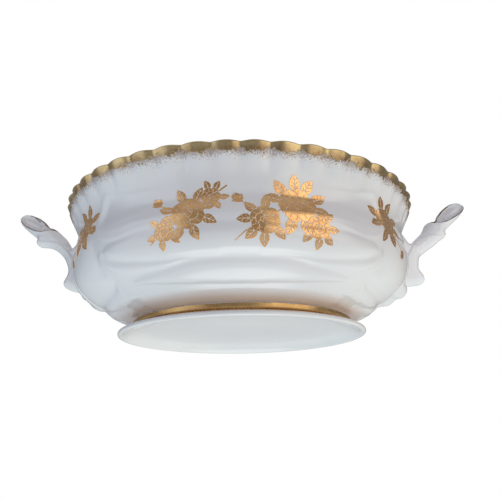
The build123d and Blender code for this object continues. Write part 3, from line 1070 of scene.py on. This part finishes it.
def gold_material(name, c0, c1, r0, r1, patch=160.0, dent=0.00003, sway=0.0):
    m, nt, b = material(name)
    co = nt.nodes.new("ShaderNodeTexCoord")
    cloud = noise(nt, co, patch, 3.0, 0.6)
    nt.links.new(blend_colors(nt, spread(nt, cloud.outputs[0], 0.32, 0.68), c0, c1), b.inputs["Base Color"])
    b.inputs["Metallic"].default_value = 1.0
    fine = noise(nt, co, 700.0, 2.0)
    nt.links.new(spread(nt, fine.outputs[0], 0.3, 0.7, r0, r1), b.inputs["Roughness"])
    grain = noise(nt, co, 420.0, 2.0)
    bump = nt.nodes.new("ShaderNodeBump")
    bump.inputs["Strength"].default_value = 1.0
    bump.inputs["Distance"].default_value = dent
    height = nt.nodes.new("ShaderNodeMath")           # fine grain on a slow sway
    height.operation = "MULTIPLY_ADD"
    nt.links.new(noise(nt, co, 75.0, 1.0).outputs[0], height.inputs[0])
    height.inputs[1].default_value = sway
    nt.links.new(grain.outputs[0], height.inputs[2])
    nt.links.new(height.outputs[0], bump.inputs["Height"])
    nt.links.new(bump.outputs[0], b.inputs["Normal"])
    return m


def body_glaze():
    """The white glaze, with a faint bronze tint painted just above the foot as a painted reflection of the gold band.
    """
    m = porcelain_material("porcelain_white_glaze", (0.79, 0.795, 0.81), (0.83, 0.83, 0.835))
    nt = m.node_tree
    b = nt.nodes["Principled BSDF"]
    co = next(n for n in nt.nodes if n.type == "TEX_COORD")
    base = b.inputs["Base Color"].links[0].from_socket
    xyz = nt.nodes.new("ShaderNodeSeparateXYZ")
    nt.links.new(co.outputs["Object"], xyz.inputs[0])
    # painted reflection: a bronze tint fading up the wall just above the foot stands in for the gold band's reflected
    # light
    uneven = noise(nt, co, 14.0, 2.0)
    height = nt.nodes.new("ShaderNodeMath")
    height.operation = "MULTIPLY_ADD"
    height.inputs[1].default_value = 0.0026
    nt.links.new(uneven.outputs[0], height.inputs[0])
    nt.links.new(xyz.outputs["Z"], height.inputs[2])
    painted_reflection_mask = spread(nt, height.outputs[0], 0.0146, 0.0114, 0.0, 0.68)
    reach = nt.nodes.new("ShaderNodeVectorMath")      # not under the foot
    reach.operation = "LENGTH"
    flat = nt.nodes.new("ShaderNodeVectorMath")
    flat.operation = "MULTIPLY"
    flat.inputs[1].default_value = (1.0, 1.0 / OVAL, 0.0)
    nt.links.new(co.outputs["Object"], flat.inputs[0])
    nt.links.new(flat.outputs[0], reach.inputs[0])
    outside = spread(nt, reach.outputs["Value"], 0.0600, 0.0640)
    geo = nt.nodes.new("ShaderNodeNewGeometry")       # nor inside the bowl
    out = nt.nodes.new("ShaderNodeVectorMath")
    out.operation = "DOT_PRODUCT"
    nt.links.new(geo.outputs["Normal"], out.inputs[0])
    nt.links.new(flat.outputs[0], out.inputs[1])
    out = spread(nt, out.outputs["Value"], 0.0, 0.01)
    both = nt.nodes.new("ShaderNodeMath")
    both.operation = "MULTIPLY"
    nt.links.new(painted_reflection_mask, both.inputs[0])
    nt.links.new(outside, both.inputs[1])
    painted_reflection_outside = nt.nodes.new("ShaderNodeMath")
    painted_reflection_outside.operation = "MULTIPLY"
    nt.links.new(both.outputs[0], painted_reflection_outside.inputs[0])
    nt.links.new(out, painted_reflection_outside.inputs[1])
    painted_reflection_mask = painted_reflection_outside.outputs[0]
    # mix in the colour of the painted reflection of the gold band
    mix = nt.nodes.new("ShaderNodeMix")
    mix.data_type = "RGBA"
    nt.links.new(painted_reflection_mask, mix.inputs[0])
    nt.links.new(base, mix.inputs[6])
    mix.inputs[7].default_value = (0.61, 0.415, 0.30, 1)
    # gold dust thinning out below the sponged rim
    dust = noise(nt, co, 1500.0, 3.0, 0.7)
    cloud = noise(nt, co, 160.0, 2.0)
    level = nt.nodes.new("ShaderNodeMath")
    level.operation = "MULTIPLY_ADD"
    level.inputs[1].default_value = 0.0034
    nt.links.new(cloud.outputs[0], level.inputs[0])
    nt.links.new(xyz.outputs["Z"], level.inputs[2])
    near = spread(nt, level.outputs[0], 0.0705, 0.0775, 0.0, 0.34)
    grain = nt.nodes.new("ShaderNodeMath")
    grain.operation = "ADD"
    nt.links.new(dust.outputs[0], grain.inputs[0])
    nt.links.new(near, grain.inputs[1])
    speck = nt.nodes.new("ShaderNodeMath")
    speck.operation = "MULTIPLY"
    nt.links.new(spread(nt, grain.outputs[0], 0.62, 0.74, 0.0, 0.75), speck.inputs[0])
    nt.links.new(spread(nt, near, 0.0, 0.05), speck.inputs[1])
    sown = nt.nodes.new("ShaderNodeMath")
    sown.operation = "MULTIPLY"
    nt.links.new(speck.outputs[0], sown.inputs[0])
    nt.links.new(out, sown.inputs[1])
    speck = sown.outputs[0]
    veil = nt.nodes.new("ShaderNodeMix")
    veil.data_type = "RGBA"
    fade = nt.nodes.new("ShaderNodeMath")
    fade.operation = "MULTIPLY"
    nt.links.new(spread(nt, level.outputs[0], 0.0732, 0.0784, 0.0, 0.66), fade.inputs[0])
    nt.links.new(out, fade.inputs[1])
    nt.links.new(fade.outputs[0], veil.inputs[0])
    nt.links.new(mix.outputs[2], veil.inputs[6])
    veil.inputs[7].default_value = (0.37, 0.27, 0.21, 1)
    mix2 = nt.nodes.new("ShaderNodeMix")
    mix2.data_type = "RGBA"
    nt.links.new(speck, mix2.inputs[0])
    nt.links.new(veil.outputs[2], mix2.inputs[6])
    mix2.inputs[7].default_value = (0.36, 0.27, 0.22, 1)
    nt.links.new(mix2.outputs[2], b.inputs["Base Color"])
    return m


GLAZE_BODY = body_glaze()
GLAZE = porcelain_material("porcelain_handle_glaze", (0.79, 0.795, 0.81), (0.83, 0.83, 0.835))
GLAZE_FOOT = porcelain_material("porcelain_foot_glaze", (0.78, 0.785, 0.79), (0.83, 0.83, 0.82))
GOLD = gold_material("gold_transfer", (0.76, 0.43, 0.20), (0.95, 0.61, 0.30), 0.13, 0.22, sway=9.0)
GOLD_RIM = gold_material("gold_rim_sponged", (0.31, 0.195, 0.112), (0.84, 0.68, 0.37), 0.15, 0.26, 120.0, 0.00006)
# the sponged gold is thicker towards the lip and browner where it thins out
nt = GOLD_RIM.node_tree
tone = next(n for n in nt.nodes if n.type == "VALTORGB")
cloud = tone.inputs["Fac"].links[0].from_socket
xyz = nt.nodes.new("ShaderNodeSeparateXYZ")
nt.links.new(next(n for n in nt.nodes if n.type == "TEX_COORD").outputs["Object"], xyz.inputs[0])
blend = nt.nodes.new("ShaderNodeMath")
blend.operation = "MULTIPLY_ADD"
nt.links.new(cloud, blend.inputs[0])
blend.inputs[1].default_value = 0.55
nt.links.new(spread(nt, xyz.outputs["Z"], 0.0748, 0.0788, 0.0, 0.5), blend.inputs[2])
nt.links.new(blend.outputs[0], tone.inputs["Fac"])
GOLD_LINE = gold_material("gold_band_brushed", (0.50, 0.30, 0.13), (0.68, 0.45, 0.20), 0.20, 0.30, 70.0)
# the handles' gilt lines are real gold; their near-black tone is a painted dark reflection, and the same gold darkens
# the painted shadow patch
GOLD_LINE_PAINTED_DARK = gold_material("gold_line_painted_dark_reflection", (0.15, 0.105, 0.085), (0.36, 0.25, 0.17), 0.24, 0.34, 240.0)

for o, mat, slot in ((body, GLAZE_BODY, "porcelain"), (foot, GLAZE_FOOT, "porcelain"), (handle_r, GLAZE, "porcelain"),
                     (handle_l, GLAZE, "porcelain"), (rim, GOLD_RIM, "gold"), (band, GOLD_LINE, "gold"),
                     (lines_r, GOLD_LINE_PAINTED_DARK, "gold"), (lines_l, GOLD_LINE_PAINTED_DARK, "gold")):
    o.data.materials.append(mat)
    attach(o, "root")
for o in sprays:
    o.data.materials.append(GOLD)
    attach(o, "root")
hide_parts("bowl_body")
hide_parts("foot_ring")
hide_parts("handle_right")
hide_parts("handle_left")
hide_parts("rim_gilding")
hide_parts("foot_gold_band")

# ------------------------------------------------------------------ stage, light and camera
floor_mesh = bpy.data.meshes.new("studio_floor")
floor_mesh.from_pydata([(-2.5, -2.5, 0), (2.5, -2.5, 0), (2.5, 2.5, 0), (-2.5, 2.5, 0)], [], [(0, 1, 2, 3)])
floor = bpy.data.objects.new("studio_floor", floor_mesh)
bpy.context.scene.collection.objects.link(floor)
floor.location.z = -0.0002
fm = bpy.data.materials.new("studio_floor")
fm.use_nodes = True
nt = fm.node_tree
nt.nodes.clear()
out = nt.nodes.new("ShaderNodeOutputMaterial")
mix = nt.nodes.new("ShaderNodeMixShader")
dif = nt.nodes.new("ShaderNodeBsdfDiffuse")
dif.inputs["Color"].default_value = (0.86, 0.86, 0.86, 1)
tra = nt.nodes.new("ShaderNodeBsdfTransparent")
geo = nt.nodes.new("ShaderNodeNewGeometry")
glow = nt.nodes.new("ShaderNodeEmission")          # keeps the paper pale under the low light
glow.inputs["Color"].default_value = (1, 1, 1, 1)
glow.inputs["Strength"].default_value = 0.40
both = nt.nodes.new("ShaderNodeAddShader")
nt.links.new(dif.outputs[0], both.inputs[0])
nt.links.new(glow.outputs[0], both.inputs[1])
nt.links.new(geo.outputs["Backfacing"], mix.inputs[0])
nt.links.new(both.outputs[0], mix.inputs[1])
nt.links.new(tra.outputs[0], mix.inputs[2])
nt.links.new(mix.outputs[0], out.inputs[0])
floor_mesh.materials.append(fm)
floor.visible_diffuse = False
floor.visible_glossy = False
floor.visible_transmission = False
floor.visible_shadow = False

# A plain studio: a pale gradient all round, a large soft box on each side and
# white paper below.
world = bpy.data.worlds.new("studio")
bpy.context.scene.world = world
world.use_nodes = True
wn = world.node_tree
wn.nodes.clear()
wout = wn.nodes.new("ShaderNodeOutputWorld")
tc = wn.nodes.new("ShaderNodeTexCoord")
sep = wn.nodes.new("ShaderNodeSeparateXYZ")
wn.links.new(tc.outputs["Generated"], sep.inputs[0])


def wmath(op, *args):
    n = wn.nodes.new("ShaderNodeMath")
    n.operation = op
    for k, a in enumerate(args):
        if isinstance(a, (int, float)):
            n.inputs[k].default_value = a
        else:
            wn.links.new(a, n.inputs[k])
    return n.outputs[0]


def wstep(value, low, high):
    n = wn.nodes.new("ShaderNodeMapRange")
    n.interpolation_type = "SMOOTHSTEP"
    wn.links.new(value, n.inputs["Value"])
    n.inputs["From Min"].default_value = low
    n.inputs["From Max"].default_value = high
    return n.outputs["Result"]


ELEV = wmath("MULTIPLY", wmath("ARCSINE", sep.outputs["Z"]), 180 / math.pi)
AZIM = wmath("MULTIPLY", wmath("ARCTAN2", sep.outputs["X"], wmath("MULTIPLY", sep.outputs["Y"], -1.0)), 180 / math.pi)
def by_height(stops):
    """Colour by height above the horizon, in degrees."""
    ramp = wn.nodes.new("ShaderNodeValToRGB")
    m = wn.nodes.new("ShaderNodeMapRange")
    wn.links.new(ELEV, m.inputs["Value"])
    m.inputs["From Min"].default_value = -90
    m.inputs["From Max"].default_value = 90
    wn.links.new(m.outputs["Result"], ramp.inputs[0])
    er = ramp.color_ramp.elements
    er[0].position, er[0].color = 0.0, (*stops[0][1], 1)
    er[1].position, er[1].color = 1.0, (*stops[-1][1], 1)
    for deg, c in stops[1:-1]:
        e = er.new((deg + 90) / 180)
        e.color = (*c, 1)
    return ramp.outputs[0]


def mixed(factor, a, b, blend="MIX"):
    mix = wn.nodes.new("ShaderNodeMix")
    mix.data_type = "RGBA"
    mix.blend_type = blend
    for k, x in ((0, factor), (6, a), (7, b)):
        if isinstance(x, tuple):
            mix.inputs[k].default_value = (*x, 1)
        elif isinstance(x, (int, float)):
            mix.inputs[k].default_value = x
        else:
            wn.links.new(x, mix.inputs[k])
    return mix.outputs[2]


# what the glaze and the gold mirror: a plain gradient and three soft boxes
sky = by_height([(-90, (0.70, 0.71, 0.72)), (-30, (0.64, 0.65, 0.66)), (-8, (0.46, 0.46, 0.46)), (8, (0.26, 0.26, 0.26)),
                 (36, (0.28, 0.28, 0.28)), (54, (0.48, 0.48, 0.49)), (90, (0.58, 0.58, 0.60))])
PANELS = [  # azimuth range, elevation range, softness, colour
    (18, 64, -6, 32, 16, (1.30, 1.18, 1.00)),
    (-78, -34, -8, 36, 16, (0.85, 0.88, 0.92)),
    (-300, 300, -120, -68, 16, (2.0, 2.0, 1.95))]
for a0, a1, e0, e1, soft, color in PANELS:
    f = wmath("MULTIPLY", wstep(AZIM, a0 - soft / 2, a0 + soft / 2), wstep(AZIM, a1 + soft / 2, a1 - soft / 2))
    f = wmath("MULTIPLY", f, wmath("MULTIPLY", wstep(ELEV, e0 - soft / 2, e0 + soft / 2), wstep(ELEV, e1 + soft / 2, e1 - soft / 2)))
    sky = mixed(f, sky, color)
# what lights it evenly: bright from below and the front, cooler from the left
fill = by_height([(-90, (0.60, 0.625, 0.645)), (-60, (0.78, 0.80, 0.81)), (-35, (0.92, 0.92, 0.92)), (-15, (0.67, 0.645, 0.67)),
                  (0, (0.35, 0.305, 0.345)), (30, (0.29, 0.245, 0.28)), (90, (0.38, 0.34, 0.39))])
side = wstep(sep.outputs["X"], -1.0, 1.0)
fill = mixed(1.0, fill, mixed(side, (0.80, 0.97, 1.12), (1.30, 1.27, 1.13)), "MULTIPLY")
low_right = wmath("MULTIPLY", wmath("MULTIPLY", wstep(AZIM, -15, 35), wstep(AZIM, 150, 100)),
                  wmath("MULTIPLY", wstep(ELEV, -55, -30), wstep(ELEV, 14, -10)))
fill = mixed(1.0, fill, mixed(low_right, (1.0, 1.0, 1.0), (1.38, 1.38, 1.36)), "MULTIPLY")
lp = wn.nodes.new("ShaderNodeLightPath")
bg = wn.nodes.new("ShaderNodeBackground")
wn.links.new(mixed(lp.outputs["Is Diffuse Ray"], sky, fill), bg.inputs[0])
bg.inputs[1].default_value = 1.0
white = wn.nodes.new("ShaderNodeBackground")
white.inputs[0].default_value = (1, 1, 1, 1)
wm = wn.nodes.new("ShaderNodeMixShader")
wn.links.new(lp.outputs["Is Camera Ray"], wm.inputs[0])
wn.links.new(bg.outputs[0], wm.inputs[1])
wn.links.new(white.outputs[0], wm.inputs[2])
wn.links.new(wm.outputs[0], wout.inputs[0])
world.cycles.sampling_method = "NONE"


def softbox(name, at, look, size, power, color):
    d = bpy.data.lights.new(name, "AREA")
    d.shape = "RECTANGLE"
    d.size, d.size_y = size
    d.energy = power
    d.color = color
    o = bpy.data.objects.new(name, d)
    bpy.context.scene.collection.objects.link(o)
    o.location = at
    o.rotation_euler = (Vector(look) - Vector(at)).to_track_quat("-Z", "Y").to_euler()
    o.visible_camera = False
    o.visible_glossy = False
    return d


softbox("key_above", (0.3, -0.5, 1.6), (0, 0, 0.05), (0.8, 0.8), 2.2, (1.0, 0.97, 0.94))
softbox("kicker_right", (0.27, -0.36, 0.02), (0.134, 0.0, 0.041), (0.05, 0.05), 0.0028, (0.97, 0.99, 1.0)).spread = 0.23
softbox("lamp_over_the_bowl", (0, 0, 1.2), (0, 0, 0.02), (0.12, 0.12), 0.045, (1.0, 1.0, 0.98)).spread = 0.24

YAW, PITCH, ROLL, FOCAL = -0.025, 0.432, -0.022, 361.244
cy, sy, cp, sp = math.cos(YAW), math.sin(YAW), math.cos(PITCH), math.sin(PITCH)
fwd = Vector((-sy * cp, cy * cp, sp))
right = Vector((cy, sy, 0))
upv = Vector((sy * sp, -cy * sp, cp))
cr, sr = math.cos(ROLL), math.sin(ROLL)
r2 = right * cr + upv * sr
u2 = upv * cr - right * sr
cam_data = bpy.data.cameras.new("camera")
cam_data.sensor_width = 36.0
cam_data.lens = FOCAL / 500 * 36.0
cam_data.clip_start = 0.01
cam = bpy.data.objects.new("camera", cam_data)
bpy.context.scene.collection.objects.link(cam)
m = Matrix((r2, u2, -fwd)).transposed().to_4x4()
m.translation = Vector((0.024, -226.063, -43.693)) * MM
cam.matrix_world = m
bpy.context.scene.camera = cam
bpy.context.scene.view_settings.view_transform = "Standard"
